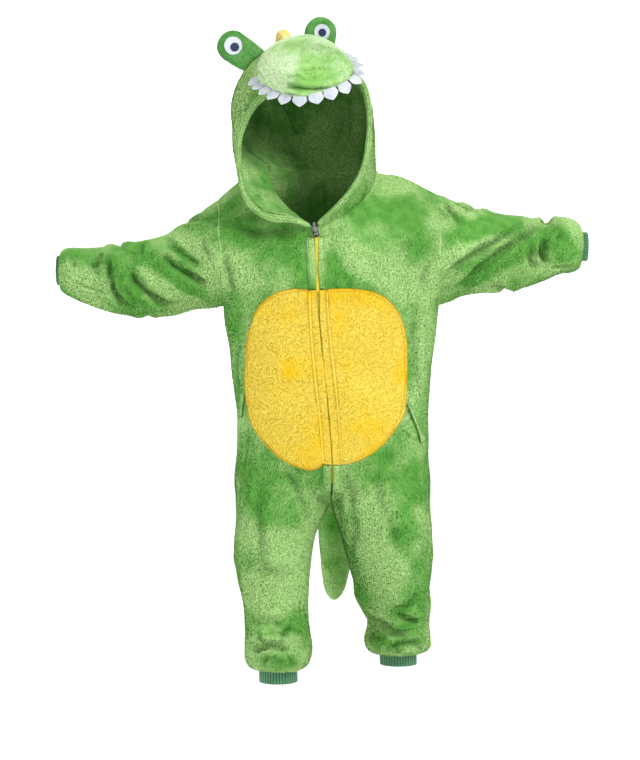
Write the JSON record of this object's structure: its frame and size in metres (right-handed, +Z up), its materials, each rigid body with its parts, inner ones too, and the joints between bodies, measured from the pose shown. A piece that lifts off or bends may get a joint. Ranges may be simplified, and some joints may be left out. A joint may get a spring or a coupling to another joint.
{
  "type": "hooded animal costume",
  "caption": "Hollow plush jumpsuit for a small child in its worn pose, with a hood shaped as a crocodile's head, a yellow belly patch, a front zip, ribbed cuffs and a stuffed tail",
  "frame": {"origin": "between the shoulders at the height of the neck, where the wearer carries the garment", "axes": "+Z up, -Y is the front, +X is the wearer's left"},
  "size_m": [0.793, 0.3761, 0.9849],
  "materials": {
    "fleece_green": "long soft plush",
    "fleece_yellow": "long soft plush",
    "rib_knit": "ribbed knit",
    "felt_white": "smooth felt",
    "felt_navy": "smooth felt",
    "zip_tape": "woven tape and moulded teeth",
    "dark_metal": "dark plated metal"
  },
  "bodies": {
    "costume": {"front_left": "fleece_green", "back_left": "fleece_green", "sleeve_left": "fleece_green", "hood_left": "fleece_green", "front_right": "fleece_green", "back_right": "fleece_green", "sleeve_right": "fleece_green", "hood_right": "fleece_green", "belly_left": "fleece_yellow", "zip_band_upper_left": "fleece_green", "zip_band_belly_left": "fleece_yellow", "zip_band_lower_left": "fleece_green", "pocket_left": "fleece_green", "belly_right": "fleece_yellow", "zip_band_upper_right": "fleece_green", "zip_band_belly_right": "fleece_yellow", "zip_band_lower_right": "fleece_green", "pocket_right": "fleece_green", "zip_tape": "zip_tape", "zip_chain": "zip_tape", "cuff_wrist_left": "rib_knit", "cuff_wrist_right": "rib_knit", "cuff_ankle_left": "rib_knit", "cuff_ankle_right": "rib_knit", "hood_hem_left": "fleece_green", "hood_hem_right": "fleece_green", "snout": "fleece_green", "teeth_strip": "felt_white", "eye_stalk_left": "fleece_green", "eye_white_left": "felt_white", "eye_pupil_left": "felt_navy", "eye_stalk_right": "fleece_green", "eye_white_right": "felt_white", "eye_pupil_right": "felt_navy", "spike_hood_1": "fleece_yellow", "spike_hood_2": "fleece_yellow", "spike_hood_3": "fleece_yellow", "spike_hood_4": "fleece_yellow", "spike_back_1": "fleece_yellow", "spike_back_2": "fleece_yellow", "spike_back_3": "fleece_yellow", "spike_back_4": "fleece_yellow", "spike_tail_1": "fleece_yellow", "spike_tail_2": "fleece_yellow", "spike_tail_3": "fleece_yellow", "tail": "fleece_green", "zip_slider": "dark_metal"},
    "pull": {"zip_pull": "dark_metal"}
  },
  "joints": [
    {"name": "pull", "type": "hinge", "parent": "costume", "child": "pull", "pos_m": [-0.02082, -0.09821, -0.067], "axis": [0.9848, 0, 0.1736], "range_deg": [0, 185]}
  ]
}
